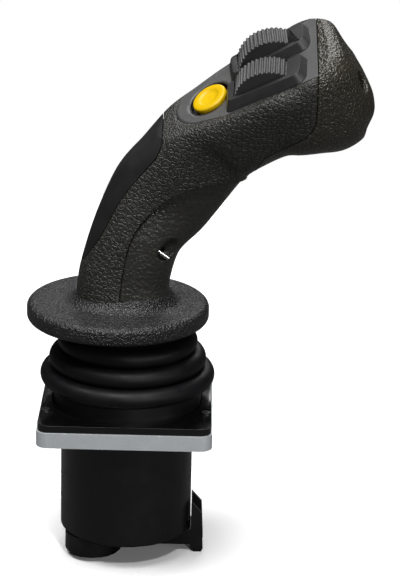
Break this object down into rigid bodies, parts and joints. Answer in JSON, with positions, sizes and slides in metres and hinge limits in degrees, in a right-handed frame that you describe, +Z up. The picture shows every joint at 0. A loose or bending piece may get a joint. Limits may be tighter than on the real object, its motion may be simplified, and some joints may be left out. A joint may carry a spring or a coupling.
{
  "type": "industrial joystick",
  "caption": "Industrial joystick with an ergonomic grip, push button and thumb rollers on a sprung two-axis gimbal, with a rubber boot, square flange and electronics housing.",
  "frame": {"origin": "centre of the flange's underside, which is the mounting face", "axes": "+Z up out of the panel, +X the way the head of the grip leans, -Y the thumb side"},
  "size_m": [0.1708, 0.0924, 0.2811],
  "materials": {
    "cast_aluminium": "cast, lightly machined",
    "gloss_black": "smooth, glossy",
    "boot_rubber": "soft matt rubber",
    "housing_black": "moulded, satin",
    "grip_black": "grained moulding, semi-gloss",
    "pad_black": "smooth, matt",
    "plate_grey": "fine satin",
    "yellow": "smooth, bright",
    "steel": "bright steel",
    "dark_steel": "blackened steel",
    "bronze": "sintered bronze",
    "gold_pin": "gold plated",
    "board_green": "solder resist",
    "chip_black": "moulded epoxy",
    "ivory": "moulded",
    "magnet_grey": "sintered"
  },
  "bodies": {
    "base": {"mounting_flange": "cast_aluminium", "boot_frame": "gloss_black", "frame_screws": "dark_steel", "rubber_boot": "boot_rubber", "housing": "housing_black", "housing_screws": "dark_steel", "round_socket": "housing_black", "round_socket_pins": "gold_pin", "plug_socket": "housing_black", "plug_socket_pins": "gold_pin", "sensor_board": "board_green", "sensor_chips": "chip_black", "board_screws": "dark_steel", "flange_bushes": "bronze"},
    "gimbal": {"gimbal_ring": "steel", "gimbal_pins": "steel", "gimbal_bushes": "bronze", "gimbal_spring": "steel"},
    "lever": {"lever_shaft": "steel", "lever_pin": "steel", "lever_spring": "steel", "magnet_holder": "ivory", "magnet": "magnet_grey", "clamp_sleeve": "cast_aluminium", "hand_rest": "grip_black", "rear_shell": "grip_black", "front_shell": "grip_black", "head_cap": "grip_black", "palm_pad": "pad_black", "face_plate": "plate_grey", "neck_cross_pin": "steel", "cap_screw": "steel", "button_bezel": "housing_black", "button_switch": "chip_black", "button_spring": "steel", "near_bezel": "plate_grey", "far_bezel": "plate_grey", "near_axle": "steel", "far_axle": "steel", "near_roller_spring": "steel", "far_roller_spring": "steel", "grip_board": "board_green"},
    "button": {"button_cap": "yellow"},
    "near_roller": {"near_roller": "plate_grey"},
    "far_roller": {"far_roller": "plate_grey"}
  },
  "joints": [
    {"name": "tilt_sideways", "type": "hinge", "parent": "base", "child": "gimbal", "pos_m": [0, 0, 0.002], "axis": [1, 0, 0], "range_deg": [-15, 15], "stiffness_Nm_per_rad": 3, "deforming": ["rubber_boot"]},
    {"name": "tilt_fore_aft", "type": "hinge", "parent": "gimbal", "child": "lever", "pos_m": [0, 0, 0.002], "axis": [0, 1, 0], "range_deg": [-15, 15], "stiffness_Nm_per_rad": 3, "deforming": ["rubber_boot"]},
    {"name": "button_press", "type": "slide", "parent": "lever", "child": "button", "axis": [0.5118, 0.342, -0.7881], "range_m": [0, 0.0025], "stiffness_N_per_m": 800, "deforming": ["button_spring"]},
    {"name": "near_roller_turn", "type": "hinge", "parent": "lever", "child": "near_roller", "pos_m": [0.0679, -0.02021, 0.17792], "axis": [0.0371, 0.9077, 0.418], "range_deg": [-30, 30], "stiffness_Nm_per_rad": 0.03},
    {"name": "far_roller_turn", "type": "hinge", "parent": "lever", "child": "far_roller", "pos_m": [0.06951, -0.00015, 0.18766], "axis": [-0.0677, 0.9305, 0.3598], "range_deg": [-30, 30], "stiffness_Nm_per_rad": 0.03}
  ]
}
